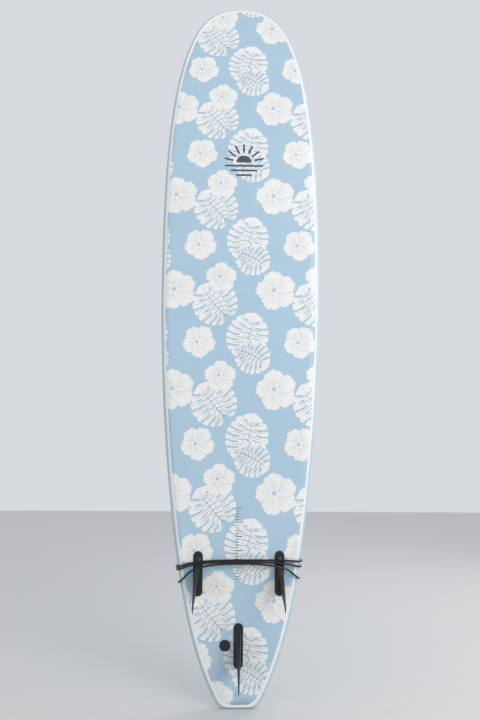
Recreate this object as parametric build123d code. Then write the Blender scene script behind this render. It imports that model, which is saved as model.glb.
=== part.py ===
# A nine-foot soft-top longboard with three screwed-on fins, a leash plug and its leash, which is
# wound round the tail in front of the side fins.
# Frame, in millimetres: the origin is the centre of the flat tail end. +Z runs to the nose, -Y out
# of the bottom, where the fins stand, and +Y out of the deck. Left and right are as seen with the
# bottom facing the viewer and the nose up, so the left fin is at -X.
from build123d import *
import math
import os

# ---- the board
LENGTH = 2743.2              # 9 ft
WIDTH = 609.6                # 24 in
THICKNESS = 92.0             # 3 5/8 in
WIDE_Z = 1600.0              # the widest point
THICK_Z = 1350.0             # the thickest point
FLAT_Z = 1250.0              # where the bottom is parallel to Z
NOSE_ROCKER = 88.0
TAIL_ROCKER = 42.0
NOSE_THICK = 24.0
TAIL_THICK = 30.0
TAIL_CORNER = 26.0
BOTTOM_Y = -(TAIL_ROCKER + TAIL_THICK / 2)
RAIL_TUCK = 0.42             # height of the rail's apex, as a share of the thickness
QUARTER = 0.5523             # Bezier handle of a quarter circle
STATIONS = [0, 3, 9, 18, 30, 60, 120, 220, 330, 450, 600, 780, 1000, 1200, 1400, 1600, 1800, 1980,
            2130, 2250, 2330, 2400, 2460, 2520, 2575, 2625, 2668, 2700, 2722, 2734, 2740, 2742.8]

# ---- its layers
SKIN = 5.0                   # soft foam on the deck, rails and ends
UNDERLAY = 3.0               # film and foam between the bottom's surface and the core
FILM = 1.4                   # the slick bottom sheet and the seam strip
SEAM_INSET = 10.0            # from the outline to the strip's outer edge
SEAM_WIDTH = 9.0
GLUE = 0.15                  # the glue line between the core and the stringers
SHEET_GLUE = 0.35            # the glue line over the bottom sheet and the seam strip
STRINGER_X = 80.0
STRINGER_THICK = 4.0

# ---- the fins
FLANGE_LENGTH = 158.0
FLANGE_WIDTH = 34.0
FLANGE_PROUD = 4.0
POST_RADIUS = 5.5
POST_DEPTH = 14.0
SIDE_FIN = dict(height=110.0, cant=5.0, toe=1.0, post=55.0)
CENTRE_FIN = dict(height=140.0, cant=0.0, toe=0.0, post=50.0)
LEFT_FIN_AT = (-147.0, 466.0)
RIGHT_FIN_AT = (146.0, 468.0)
CENTRE_FIN_AT = (0.0, 216.0)
# one blade's outline along the board and away from the bottom: (height, trailing edge, leading
# edge, thickness), from the flange's middle, with the fin's height as 1
SIDE_OUTLINE = [(0.0, -68, 66, 9.0), (0.11, -69, 39, 8.6), (0.3, -70, 22, 7.8),
                (0.55, -75, 0, 6.8), (0.8, -86, -37, 5.6), (0.94, -99, -68, 4.6), (1.0, -108, -88, 4.0)]
CENTRE_OUTLINE = [(0.0, -66, 64, 9.0), (0.1, -67, 50, 8.7), (0.3, -69, 31, 8.0),
                  (0.55, -74, 3, 7.0), (0.8, -86, -35, 5.8), (0.94, -96, -68, 4.7), (1.0, -106, -88, 4.0)]

# ---- the screws that hold the fins, driven from the deck
SCREW_RADIUS = 2.4
HEAD_RADIUS = 4.6
HEAD_HEIGHT = 3.5
INSERT_RADIUS = 3.5
PLUG_RADIUS = 6.5
PLUG_FLANGE_RADIUS = 11.0
CLEAR = 0.1

# ---- the leash plug
LEASH_PLUG_AT = (-49.0, 216.0)
CUP_RADIUS = 14.5
CUP_INNER = 12.5
CUP_DEPTH = 18.0
CUP_FLANGE_RADIUS = 19.0
BASE_RADIUS = 20.0
BAR_RADIUS = 1.6
BAR_DEPTH = 6.0

# ---- the leash
CORD_DIAMETER = 7.0
CORD_LENGTH = 2743.2         # a 9 ft leash
STRING_DIAMETER = 3.0
SAVER_WIDTH = 25.0
SAVER_THICK = 4.0
SAVER_SPAN = (35.0, 223.4)   # from the leash plug's axis
FOLD_SPAN = (42.0, 104.0)
SWIVEL_LENGTH = 64.3
RAIL_SWIVEL_AT = (122.2, 31.4, 362.0)
CUFF_SWIVEL_AT = (-97.0, 46.2, 504.0)
# the cord's route: from the rail saver's swivel it goes over the right rail, across the bottom in
# front of the side fins, round the left rail, across the deck, and so on to the ankle cuff
ROUTE = [
    (170.99, 26.39, 403.58), (219.6, 21.4, 445.0), (219.6, -49.4, 447.0),
    (150.0, -71.5, 506.5), (-150.0, -71.5, 505.5), (-217.1, -49.4, 431.0), (-217.1, 20.9, 432.0),
    (-106.0, 36.6, 446.0), (-34.0, 37.2, 456.0), (226.5, 22.4, 488.0), (226.5, -50.3, 489.0),
    (150.0, -63.5, 511.0), (-150.0, -63.5, 509.5), (-224.5, -50.3, 477.0), (-224.5, 22.4, 478.0),
    (-106.0, 37.4, 486.0), (-34.0, 38.0, 491.0), (229.8, 22.9, 508.0), (229.8, -50.9, 509.0),
    (150.0, -55.5, 516.5), (-150.0, -55.5, 514.0), (-226.3, -50.3, 487.0), (-226.3, 22.4, 488.0),
    (-159.77, 34.65, 496.23)]
BEND_LIMIT = {3: 30, 4: 30, 7: 60, 8: 60, 11: 60, 12: 60, 15: 60, 16: 60, 19: 60, 20: 60}

# ---- the ankle cuff, a padded strap closed flat round the two deck crossings
CUFF_X = -70.0
CUFF_Z = 510.0
CUFF_WIDTH = 50.0
CUFF_FLAT = 130.0
CUFF_GAP = 10.0
CUFF_THICK = 5.0
CUFF_LIFT = 0.4
STRAP_WIDTH = 38.0
STRAP_THICK = 2.0


# ------------------------------------------------------------------ the board's shape
def half_width(z):
    """Half of the outline's width at z."""
    if z >= WIDE_Z:
        u = (z - WIDE_Z) / (LENGTH - WIDE_Z)
        return WIDTH / 2 * (1 - u ** 2.7) ** 0.34
    s = (WIDE_Z - z) / WIDE_Z
    width = WIDTH / 2 * (1 - 0.545 * s ** 2 - 0.225 * s ** 9)
    if z < TAIL_CORNER:
        width -= TAIL_CORNER - math.sqrt(TAIL_CORNER ** 2 - (TAIL_CORNER - z) ** 2)
    return width


def bottom_y(z):
    """The bottom, which is flat across and rises towards both ends."""
    if z >= FLAT_Z:
        return BOTTOM_Y + NOSE_ROCKER * ((z - FLAT_Z) / (LENGTH - FLAT_Z)) ** 2.3
    return BOTTOM_Y + TAIL_ROCKER * ((FLAT_Z - z) / FLAT_Z) ** 2.2


def thickness(z):
    """The thickness on the centre line."""
    if z >= THICK_Z:
        u = (z - THICK_Z) / (LENGTH - THICK_Z)
        return THICKNESS - (THICKNESS - NOSE_THICK) * u ** 2.6
    s = (THICK_Z - z) / THICK_Z
    return THICKNESS - (THICKNESS - TAIL_THICK) * s ** 2.4


def curve(z, *points):
    """A Bezier edge in the plane at z, or a line where there are two points."""
    corners = [Vector(x, y, z) for x, y in points]
    return Edge.make_line(*corners) if len(corners) == 2 else Edge.make_bezier(*corners)


def section(z, side, under):
    """The closed cross-section at z, inside the surface by side, and by under at the bottom."""
    half = half_width(z) - side
    low = bottom_y(z) + under
    top = bottom_y(z) + thickness(z) - side
    tuck = RAIL_TUCK * (top - low)
    apex = low + tuck
    flat = half - tuck
    handle = QUARTER * tuck
    rail = [(flat, low), (flat + handle, low), (half, apex - handle), (half, apex)]
    deck = [(half, apex), (half, apex + 0.85 * (top - apex)), (0.62 * half, top), (0, top)]
    at = side + z * (LENGTH - 2 * side) / LENGTH
    mirrored_deck = [(-x, y) for x, y in reversed(deck)]
    mirrored_rail = [(-x, y) for x, y in reversed(rail)]
    return Wire([curve(at, (-flat, low), (flat, low)), curve(at, *rail), curve(at, *deck),
                 curve(at, *mirrored_deck), curve(at, *mirrored_rail)])


def hull(side, under):
    """The board's solid, shrunk or grown by side and under."""
    return Solid.make_loft([section(z, side, under) for z in STATIONS])


def bottom_at(x, z, under):
    """The lower surface at x, z, raised by under: flat, then up the tucked rail."""
    low = bottom_y(z) + under
    tuck = RAIL_TUCK * (bottom_y(z) + thickness(z) - low)
    reach = (abs(x) - half_width(z) + tuck) / tuck
    if reach <= 0:
        return low
    return low + tuck * (1 - math.sqrt(1 - min(reach, 1.0) ** 2))


def seam_half(z, inset):
    """Half of the width at z of the outline drawn inset inside the board's outline."""
    share = (z - inset) / (LENGTH - 2 * inset)
    return half_width(max(share, 0.0) * STATIONS[-1]) - inset


def film_section(z, outer, inner=None):
    """A thin closed section on the bottom at z: the whole width, or one side from inner to outer."""
    if inner is None:
        xs = [outer * math.sin(math.pi * (i - 8) / 16) for i in range(17)]
    else:
        xs = [inner + (outer - inner) * (1 - (1 - i / 8) ** 1.6) for i in range(9)]
    under = [Vector(x, bottom_at(x, z, 0.0), z) for x in xs]
    over = [Vector(x, bottom_at(x, z, FILM - SHEET_GLUE), z) for x in reversed(xs)]
    return Wire([Edge.make_spline(under), Edge.make_line(under[-1], over[0]),
                 Edge.make_spline(over), Edge.make_line(over[-1], under[0])])


def bottom_film():
    """The slick bottom sheet, and the seam strip round it as side, tail and nose lengths."""
    inner, outer = SEAM_INSET + SEAM_WIDTH, SEAM_INSET
    spots = [inner + z * (LENGTH - 2 * inner) / STATIONS[-1] for z in STATIONS]
    slick = Solid.make_loft([film_section(z, seam_half(z, inner)) for z in spots])
    side = Solid.make_loft([film_section(z, seam_half(z, outer), seam_half(z, inner)) for z in spots])
    ends = []
    for first, step in ((outer, SEAM_WIDTH / 4), (LENGTH - outer, -SEAM_WIDTH / 4)):
        spots = [first + step * i for i in range(5)]
        ends.append(Solid.make_loft([film_section(z, seam_half(z, outer)) for z in spots]))
    return slick, [side, side.mirror(Plane.YZ)] + ends


def deck_y(x, z):
    """The deck's height at x, z, from the section's Bezier curve."""
    reach = abs(x) / half_width(z)
    low, high = 0.0, 1.0
    for _ in range(40):
        t = (low + high) / 2
        share = (1 - t) ** 3 + 3 * (1 - t) ** 2 * t + 3 * 0.62 * (1 - t) * t ** 2
        low, high = (t, high) if share > reach else (low, t)
    top = bottom_y(z) + thickness(z)
    apex = bottom_y(z) + RAIL_TUCK * thickness(z)
    rise = 3 * 0.85 * (1 - t) ** 2 * t + 3 * (1 - t) * t ** 2 + t ** 3
    return apex + rise * (top - apex)


def bottom_plane(at):
    """The bottom's tangent plane at (x, z): local x to the nose, local z out of the bottom."""
    x, z = at
    slope = bottom_y(z + 0.5) - bottom_y(z - 0.5)
    return Plane(origin=(x, bottom_y(z), z), x_dir=(0, slope, 1), z_dir=(0, -1, slope))


def depth_at(at):
    """The board's thickness under (x, z)."""
    return deck_y(*at) - bottom_y(at[1])


def rod(radius, low, high, x=0.0, y=0.0):
    """A round bar along local z, from low to high."""
    return Pos(x, y, (low + high) / 2) * Cylinder(radius, high - low)


def largest(shape):
    """The biggest solid of a cut shape."""
    return max(shape.solids(), key=lambda solid: solid.volume)


# ------------------------------------------------------------------ the fins and their screws
def blade(outline, height):
    """A fin's foil, lofted through lens-shaped sections from the flange to the tip."""
    wires = []
    for share, back, front, thick in outline:
        level = share * height + 1.0
        middle = back + 0.6 * (front - back)
        half = thick / 2
        heel = 0.5
        faces = []
        for side in (1, -1):
            points = [Vector(back, side * heel, level), Vector(middle, side * half, level),
                      Vector(front, 0, level)]
            ends = [Vector(1, side * 0.08, 0), Vector(0, -side, 0)]
            faces.append(Edge.make_spline(points, tangents=ends, scale=False))
        close = Edge.make_line(Vector(back, -heel, level), Vector(back, heel, level))
        wires.append(Wire([faces[0], faces[1], close]))
    return Solid.make_loft(wires)


def fin(at, outline, height, cant, toe, post, board):
    """A fin moulded in one with its flange and its two threaded posts."""
    plane = bottom_plane(at)
    lean = math.copysign(1, at[0]) if at[0] else 0
    pill = extrude(SlotOverall(FLANGE_LENGTH, FLANGE_WIDTH), FLANGE_PROUD + 2)
    pill = chamfer(pill.faces().sort_by(Axis.Z)[-1].edges(), 2.0)
    foil = Rot(0, 0, lean * toe) * Rot(lean * cant, 0, 0) * Pos(0, 0, 1) * blade(outline, height)
    body = plane * (Pos(0, 0, -2) * pill + foil) - board
    body = largest(body)
    for side in (-1, 1):
        body += plane * rod(POST_RADIUS, -POST_DEPTH, 1.5, side * post)
        body -= plane * rod(INSERT_RADIUS, -POST_DEPTH, -2.0, side * post)
    return body.solids()[0]


def fasteners(at, post):
    """One fin's inserts, screws, deck plugs and the holes that they need through the board."""
    plane = bottom_plane(at)
    inserts, screws, plugs, holes = [], [], [], []
    for side in (-1, 1):
        x = side * post
        deep = -depth_at((at[0], at[1] + x)) + 0.6
        insert = rod(INSERT_RADIUS, -POST_DEPTH, -2.0, x) - rod(SCREW_RADIUS, -POST_DEPTH, -2.0, x)
        seat = deep + 2.5 + HEAD_HEIGHT
        screw = rod(HEAD_RADIUS, deep + 2.5, seat, x) + rod(SCREW_RADIUS, seat, -4.0, x)
        screw -= Pos(x, 0, deep + 2.5) * extrude(RegularPolygon(2.3, 6), 2.2)
        sleeve = rod(PLUG_RADIUS, deep, -POST_DEPTH - 1.0, x) + rod(PLUG_FLANGE_RADIUS, deep, deep + 2.5, x)
        sleeve -= rod(HEAD_RADIUS + CLEAR, deep, seat, x)
        sleeve -= rod(SCREW_RADIUS + CLEAR, seat, 0, x)
        hole = rod(PLUG_RADIUS + CLEAR, deep - 9, -POST_DEPTH - 0.9, x)
        hole += rod(PLUG_FLANGE_RADIUS + CLEAR, deep - 9, deep + 2.6, x)
        hole += rod(POST_RADIUS + CLEAR, -POST_DEPTH - 1.0, 3.0, x)
        inserts.append(plane * insert)
        screws.append(plane * screw)
        plugs.append(plane * sleeve)
        holes.append(plane * hole)
    return inserts, screws, plugs, holes


# ------------------------------------------------------------------ the leash plug
def saver_direction():
    """The rail saver's direction on the deck, towards its swivel."""
    x, z = LEASH_PLUG_AT
    return Vector(RAIL_SWIVEL_AT[0] - x, 0, RAIL_SWIVEL_AT[2] - z).normalized()


def plug_plane():
    """The deck's tangent plane at the leash plug: local x along the rail saver."""
    x, z = LEASH_PLUG_AT
    tilt_x = deck_y(x + 0.5, z) - deck_y(x - 0.5, z)
    tilt_z = deck_y(x, z + 0.5) - deck_y(x, z - 0.5)
    along = saver_direction()
    x_dir = Vector(along.X, tilt_x * along.X + tilt_z * along.Z, along.Z)
    return Plane(origin=(x, deck_y(x, z), z), x_dir=x_dir, z_dir=(-tilt_x, 1, -tilt_z))


def leash_plug():
    """The cup in the deck with its bar, the base disc under it, their screw, and the hole."""
    plane = plug_plane()
    floor = -CUP_DEPTH - 2.0
    through = -depth_at(LEASH_PLUG_AT)
    cup = rod(CUP_RADIUS, floor, 0.4) + rod(CUP_FLANGE_RADIUS, -2.1, 0.4)
    cup -= rod(CUP_INNER, -CUP_DEPTH, 0.4)
    cup -= rod(3.1, floor, -CUP_DEPTH)
    bar = Pos(0, 0, -BAR_DEPTH) * Rot(90, 0, 0) * Cylinder(BAR_RADIUS, 2 * CUP_INNER + 2.4)
    cup -= Pos(0, 0, -BAR_DEPTH) * Rot(90, 0, 0) * Cylinder(BAR_RADIUS + 0.02, 2 * CUP_INNER + 2.5)
    disc = rod(BASE_RADIUS, through - 2.4, through + 1.2)
    disc = chamfer(disc.edges().filter_by(GeomType.CIRCLE).sort_by(Axis.Z)[0], 1.2)
    base = disc + rod(6.0, through, floor)
    base -= rod(2.5, through + 8, floor)
    screw = rod(5.0, -CUP_DEPTH, -CUP_DEPTH + 3.0) + rod(2.4, through + 11, -CUP_DEPTH)
    screw -= Pos(0, 0, -CUP_DEPTH + 1.0) * extrude(RegularPolygon(2.5, 6), 2.0)
    hole = rod(CUP_RADIUS + CLEAR, floor, 6) + rod(CUP_FLANGE_RADIUS + CLEAR, -2.2, 6)
    hole += rod(6.0 + CLEAR, through, floor)
    hole += rod(BASE_RADIUS + CLEAR, through - 9, through + 1.3)
    return [plane * shape for shape in (cup, bar, base, screw, hole)]


def leash_string():
    """The loop of thin cord that ties the rail saver to the plug's bar."""
    start = SAVER_SPAN[0] - 0.2
    turn = -BAR_DEPTH
    points = [(start, 2.2, 2.5), (10.5, 2.0, 2.5), (3.2, 1.8, turn - 3.6), (-3.6, 0.3, turn - 3.3),
              (-3.9, -0.6, turn + 3.2), (2.4, -2.0, turn + 3.7), (10.0, -2.2, 2.7), (start, -2.2, 2.5)]
    path = FilletPolyline(*points, radius=[3.2, 3.0, 3.0, 3.0, 3.0, 3.2])
    start_face = Plane(origin=path @ 0, z_dir=path % 0)
    return plug_plane() * sweep(start_face * Circle(STRING_DIAMETER / 2), path=path)


# ------------------------------------------------------------------ the leash
def webbing(span, width, low, high):
    """A strap that lies on the deck along the rail saver's line, between two heights."""
    along = saver_direction()
    x, z = LEASH_PLUG_AT
    middle = sum(span) / 2
    mid_point = (x + along.X * middle, 0, z + along.Z * middle)
    plane = Plane(origin=mid_point, x_dir=along, z_dir=(0, 1, 0))
    block = plane * Box(span[1] - span[0], width, 200)
    return largest((hull(-high, -high) & block) - hull(-low, -low)
                   - Pos(0, -150, 0) * Box(900, 300, 2 * LENGTH))


def swivel_plane(at, towards):
    """The swivel's axis from its strap end: local z along the axis, local y away from the deck."""
    axis = (Vector(*towards) - Vector(*at)).normalized()
    return Plane(origin=at, x_dir=Vector(0, 1, 0).cross(axis), z_dir=axis)


def swivel(plane, drop):
    """Housing with its lug, double-headed pin, and the horn moulded on the cord's end."""
    lug = Pos(0, -drop, 5.0) * Box(24, 10.4, 10)
    lug = fillet(lug.edges().filter_by(Axis.Z), 2.0)
    barrel = rod(7.5, 9.0, 30.0)
    barrel = chamfer(barrel.edges().filter_by(GeomType.CIRCLE).sort_by(Axis.Z)[-1], 1.0)
    housing = lug + barrel - rod(4.58, 20.0, 24.3) - rod(2.58, 24.0, 30.0)
    pin = rod(4.5, 21.0, 24.2) + rod(2.5, 24.0, 36.5) + rod(4.5, 36.2, 39.2)
    horn = Pos(0, 0, 47.3) * Cone(7.0, 4.4, 34.0)
    horn -= rod(2.58, 30.0, 36.1) + rod(4.58, 36.1, 39.4)
    return [plane * shape for shape in (housing, pin, horn)]


def bend_radii():
    """Each corner's radius: as large as its runs allow, or the size of what it goes round."""
    points = [Vector(*point) for point in ROUTE]
    radii = []
    for i in range(1, len(points) - 1):
        before = points[i] - points[i - 1]
        after = points[i + 1] - points[i]
        half_turn = math.radians(before.get_angle(after)) / 2
        radius = 0.45 * min(before.length, after.length) / math.tan(half_turn)
        radii.append(min(radius, BEND_LIMIT.get(i, radius)))
    return radii


def leash_cord():
    """The cord as one tube of straight runs and tangent arcs."""
    radii = bend_radii()
    path = FilletPolyline(*ROUTE, radius=radii)
    print("cord length", round(path.length, 1), "of", CORD_LENGTH)
    print("cord radii", [round(radius, 1) for radius in radii])
    face = Plane(origin=path @ 0, z_dir=path % 0) * Circle(CORD_DIAMETER / 2)
    tube = sweep(face, path=path)
    expected = math.pi * (CORD_DIAMETER / 2) ** 2 * path.length
    print("cord volume over section times length", round(tube.volume / expected, 4))
    return tube


# ------------------------------------------------------------------ the ankle cuff
def cuff_plane():
    """The deck's crown under the cuff: local x to the nose, local z away from the deck."""
    slope = deck_y(0, CUFF_Z + 0.5) - deck_y(0, CUFF_Z - 0.5)
    return Plane(origin=(CUFF_X, deck_y(0, CUFF_Z), CUFF_Z), x_dir=(0, slope, 1), z_dir=(0, 1, -slope))


def cuff_layer(inner_gap, thick, width, centre):
    """A closed flat loop of strap, seen from its edge as a racetrack."""
    outer = SlotCenterToCenter(CUFF_FLAT, inner_gap + 2 * thick)
    inner = SlotCenterToCenter(CUFF_FLAT, inner_gap)
    ring = extrude(outer - inner, width / 2, both=True)
    return Pos(0, 0, centre) * Rot(90, 0, 0) * ring


def ankle_cuff():
    """The padded loop, the webbing on its outside, the pull tab and the key pocket."""
    middle = CUFF_LIFT + CUFF_THICK + CUFF_GAP / 2
    top = middle + CUFF_GAP / 2 + CUFF_THICK
    pad = cuff_layer(CUFF_GAP, CUFF_THICK, CUFF_WIDTH, middle)
    strap = Pos(0, 0, top + STRAP_THICK / 2) * Box(CUFF_FLAT - 10, STRAP_WIDTH, STRAP_THICK)
    tab = Pos(-52, 0, top + STRAP_THICK + 1.5) * Box(34, STRAP_WIDTH - 4, 3)
    tab = fillet(tab.edges().filter_by(Axis.Z), 6.0)
    pocket = Pos(12, 0, top + STRAP_THICK + 2.5) * Box(46, STRAP_WIDTH - 6, 5)
    pocket = fillet(pocket.edges().filter_by(Axis.Z), 4.0)
    return [cuff_plane() * shape for shape in (pad, strap, tab, pocket)]


# ------------------------------------------------------------------ the layers
def slab(x, thick):
    """An upright plank the whole length of the board at x."""
    return Pos(x, 0, LENGTH / 2) * Box(thick, 400, LENGTH)


def board_layers(holes):
    """Core, stringers, skin, bottom sheet and seam strip, each drilled for what goes through."""
    inner = hull(SKIN, UNDERLAY)
    slick, strips = bottom_film()
    layers = {"deck_skin": hull(0.0, FILM) - inner, "bottom_slick": slick}
    for name, x in (("stringer_left", -STRINGER_X), ("stringer_right", STRINGER_X)):
        layers[name] = inner & slab(x, STRINGER_THICK)
    for x in (-STRINGER_X, STRINGER_X):
        inner = inner - slab(x, STRINGER_THICK + 2 * GLUE)
    pieces = sorted(inner.solids(), key=lambda solid: solid.center().X)
    layers.update(zip(("core_left", "core_centre", "core_right"), pieces))
    layers = {name: drilled(layer, holes) for name, layer in layers.items()}
    layers["seam_strip"] = Compound(children=strips)
    return layers


def drilled(layer, holes):
    """A layer with every hole that reaches it, kept as one solid."""
    box = layer.bounding_box()
    for hole in holes:
        spot = hole.bounding_box()
        apart = spot.min.X > box.max.X or spot.max.X < box.min.X
        if not apart:
            layer = layer - hole
    return largest(layer)


def main():
    os.makedirs("parts", exist_ok=True)
    board = hull(0.0, 0.0)
    nodes = {}
    inserts, screws, plugs, holes = [], [], [], []
    fins = {"fin_left": (LEFT_FIN_AT, SIDE_OUTLINE, SIDE_FIN),
            "fin_right": (RIGHT_FIN_AT, SIDE_OUTLINE, SIDE_FIN),
            "fin_centre": (CENTRE_FIN_AT, CENTRE_OUTLINE, CENTRE_FIN)}
    for name, (at, outline, sizes) in fins.items():
        nodes[name] = fin(at, outline, board=board, **sizes)
        for group, made in zip((inserts, screws, plugs, holes), fasteners(at, sizes["post"])):
            group.extend(made)
    nodes["fin_inserts"] = Compound(children=inserts)
    nodes["fin_screws"] = Compound(children=screws)
    nodes["fin_deck_plugs"] = Compound(children=plugs)
    plug_names = ("leash_plug_cup", "leash_plug_bar", "leash_plug_base", "leash_plug_screw")
    *plug_pieces, plug_hole = leash_plug()
    nodes.update(zip(plug_names, plug_pieces))
    nodes.update(board_layers(holes + [plug_hole]))
    nodes["leash_string"] = leash_string()
    nodes["rail_saver"] = webbing(SAVER_SPAN, SAVER_WIDTH, 0.3, 0.3 + SAVER_THICK)
    nodes["rail_saver_fold"] = webbing(FOLD_SPAN, SAVER_WIDTH, 0.3 + SAVER_THICK, 3.3 + SAVER_THICK)
    rail_plane = swivel_plane(RAIL_SWIVEL_AT, ROUTE[1])
    cuff_axis = swivel_plane(CUFF_SWIVEL_AT, ROUTE[-2])
    print("cord ends", (rail_plane * Pos(0, 0, SWIVEL_LENGTH)).position,
          (cuff_axis * Pos(0, 0, SWIVEL_LENGTH)).position)
    for end, plane, drop in (("rail", rail_plane, 2.5), ("cuff", cuff_axis, 0.0)):
        names = (end + "_swivel_housing", end + "_swivel_pin", end + "_horn")
        nodes.update(zip(names, swivel(plane, drop)))
    nodes["leash_cord"] = leash_cord()
    cuff_names = ("ankle_cuff", "cuff_strap", "cuff_pull_tab", "cuff_key_pocket")
    nodes.update(zip(cuff_names, ankle_cuff()))
    for name, shape in nodes.items():
        export_step(shape, os.path.join("parts", name + ".step"))


main()
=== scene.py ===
"""A nine-foot soft-top longboard, leaning upright, seen from its printed bottom.

The frame is the CAD model's: metres, the origin at the centre of the flat tail end, +Z to the
nose, -Y out of the bottom, +Y out of the deck.
"""
import bpy
import bmesh
import math
import random
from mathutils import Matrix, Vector
from mathutils.geometry import delaunay_2d_cdt


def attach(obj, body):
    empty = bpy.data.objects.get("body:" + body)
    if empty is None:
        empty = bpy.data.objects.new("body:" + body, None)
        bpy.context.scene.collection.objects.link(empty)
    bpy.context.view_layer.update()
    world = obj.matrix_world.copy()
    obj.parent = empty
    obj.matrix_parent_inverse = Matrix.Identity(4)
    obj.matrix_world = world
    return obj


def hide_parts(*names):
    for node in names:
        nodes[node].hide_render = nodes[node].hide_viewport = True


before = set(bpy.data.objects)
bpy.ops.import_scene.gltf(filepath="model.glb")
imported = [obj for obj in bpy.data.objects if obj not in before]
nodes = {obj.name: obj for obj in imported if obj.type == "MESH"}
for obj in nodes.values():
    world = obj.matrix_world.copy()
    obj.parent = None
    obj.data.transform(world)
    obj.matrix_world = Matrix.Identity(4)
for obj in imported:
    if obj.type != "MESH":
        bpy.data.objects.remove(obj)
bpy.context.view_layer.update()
BODY = "board"

# -------- the board's sizes, in metres
LENGTH = 2.7432
HALF = 0.3048
THICKNESS = 0.092
WIDE_Z = 1.600
THICK_Z = 1.350
FLAT_Z = 1.250
NOSE_ROCKER = 0.088
TAIL_ROCKER = 0.042
NOSE_THICK = 0.024
TAIL_THICK = 0.030
TAIL_CORNER = 0.026
BOTTOM_Y = -(TAIL_ROCKER + TAIL_THICK / 2)
RAIL_TUCK = 0.42
TIP_Z = 2.7428
SEAM_INSET = 0.010
SEAM_WIDTH = 0.009
SEAM_END_TUCK = 0.005
FILM = 0.0014
MM = 0.001

# -------- the leash, as in the CAD model
ROUTE = [
    (170.99, 26.39, 403.58), (219.6, 21.4, 445.0), (219.6, -49.4, 447.0),
    (150.0, -71.5, 506.5), (-150.0, -71.5, 505.5), (-217.1, -49.4, 431.0), (-217.1, 20.9, 432.0),
    (-106.0, 36.6, 446.0), (-34.0, 37.2, 456.0), (226.5, 22.4, 488.0), (226.5, -50.3, 489.0),
    (150.0, -63.5, 511.0), (-150.0, -63.5, 509.5), (-224.5, -50.3, 477.0), (-224.5, 22.4, 478.0),
    (-106.0, 37.4, 486.0), (-34.0, 38.0, 491.0), (229.8, 22.9, 508.0), (229.8, -50.9, 509.0),
    (150.0, -55.5, 516.5), (-150.0, -55.5, 514.0), (-226.3, -50.3, 487.0), (-226.3, 22.4, 488.0),
    (-159.77, 34.65, 496.23)]
CORD_DIAMETER = 0.007
PLUG_AT = (-0.049, 0.216)
RAIL_SWIVEL_AT = Vector((0.1222, 0.0314, 0.362))
CUFF_SWIVEL_AT = Vector((-0.097, 0.0462, 0.504))
SAVER_SPAN = (0.035, 0.2234)
FOLD_SPAN = (0.042, 0.104)
CUFF_X = -0.070
CUFF_Z = 0.510


def in_scene(piece):
    bpy.context.scene.collection.objects.link(piece)
    return piece


# ======== the camera
def look():
    """A portrait camera in front of the bottom, tilted up a little."""
    camera = bpy.data.objects.new("camera", bpy.data.cameras.new("camera"))
    camera.data.lens = 30.0
    camera.data.sensor_width = 36.0
    camera.location = (-0.045, BOTTOM_Y - 2.225, 0.938)
    camera.rotation_euler = (math.radians(90 + 7.71), math.radians(-0.37), math.radians(-1.185))
    bpy.context.scene.camera = in_scene(camera)


look()
bpy.context.scene.view_settings.view_transform = "Standard"


# ======== mesh helpers
def mesh_piece(name, points, faces, materials, indices=None, smooth=True):
    """A mesh object at the origin from points and faces, with its materials."""
    mesh = bpy.data.meshes.new(name)
    mesh.from_pydata([tuple(p) for p in points], [], faces)
    for material in materials:
        mesh.materials.append(material)
    if indices is not None:
        mesh.polygons.foreach_set("material_index", indices)
    mesh.polygons.foreach_set("use_smooth", [smooth] * len(mesh.polygons))
    mesh.update()
    return in_scene(bpy.data.objects.new(name, mesh))


def settle(piece, slot, *replaced):
    """The piece rides on the board and stands for CAD nodes; its slot argument is not used."""
    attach(piece, BODY)
    if replaced:
        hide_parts(*replaced)
    return piece


def ring_faces(count, total, closed=False):
    """Faces between rings of count points, with both ends capped unless the rings close."""
    faces = [(i * count + k, i * count + (k + 1) % count,
              (i + 1) % total * count + (k + 1) % count, (i + 1) % total * count + k)
             for i in range(total if closed else total - 1) for k in range(count)]
    if not closed:
        faces += [tuple(reversed(range(count))),
                  tuple((total - 1) * count + k for k in range(count))]
    return faces


def ring_skin(name, rings, material, closed=False):
    """A closed skin through rings of points, its UV in metres along and round it."""
    count, total = len(rings[0]), len(rings)
    along, around = [0.0], [0.0]
    for i in range(total):
        along.append(along[-1] + (rings[(i + 1) % total][0] - rings[i][0]).length)
    for k in range(count):
        around.append(around[-1] + (rings[0][(k + 1) % count] - rings[0][k]).length)
    spots = []
    for i in range(total if closed else total - 1):
        for k in range(count):
            spots += [(along[i], around[k]), (along[i], around[k + 1]),
                      (along[i + 1], around[k + 1]), (along[i + 1], around[k])]
    if not closed:
        spots += [(0.0, around[k]) for k in reversed(range(count))]
        spots += [(along[-2], around[k]) for k in range(count)]
    piece = mesh_piece(name, [p for ring in rings for p in ring],
                       ring_faces(count, total, closed), [material])
    layer = piece.data.uv_layers.new(name="surface")
    for loop, spot in zip(layer.data, spots):
        loop.uv = spot
    return outwards(piece)


def outwards(piece):
    """Turn every face of a closed piece outwards."""
    work = bmesh.new()
    work.from_mesh(piece.data)
    bmesh.ops.recalc_face_normals(work, faces=work.faces)
    work.to_mesh(piece.data)
    work.free()
    return piece


def flat_uv(piece, u_dir, v_dir):
    """A UV map straight down onto a flat strap."""
    layer = piece.data.uv_layers.active or piece.data.uv_layers.new(name="surface")
    for loop, spot in zip(piece.data.loops, layer.data):
        place = piece.data.vertices[loop.vertex_index].co
        spot.uv = (place.dot(u_dir), place.dot(v_dir))
    return piece


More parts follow.
